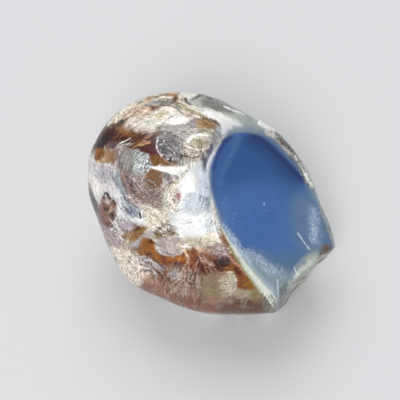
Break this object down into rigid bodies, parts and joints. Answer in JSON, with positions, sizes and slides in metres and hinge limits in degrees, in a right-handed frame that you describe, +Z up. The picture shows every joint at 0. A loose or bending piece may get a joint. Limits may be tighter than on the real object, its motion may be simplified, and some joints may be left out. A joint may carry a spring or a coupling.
{
  "type": "blue chalcedony nodule",
  "caption": "Palm-sized tumbled nodule with a mottled natural rind, a ground window on its translucent blue inside, a chipped corner and a flat to rest on.",
  "frame": {"origin": "on the surface that the stone rests on, under the middle of its bounding box", "axes": "+Z up, +X along the stone's longest side, towards the chipped corner, -Y towards someone who looks at the blue window from 55 degrees above the surface"},
  "size_m": [0.069, 0.058, 0.0525],
  "materials": {
    "polished_stone": "tumbled to a gloss: mottled cream, grey and rust-brown rind around a deep blue translucent window"
  },
  "bodies": {
    "root": {"chalcedony_stone": "polished_stone"}
  },
  "joints": []
}
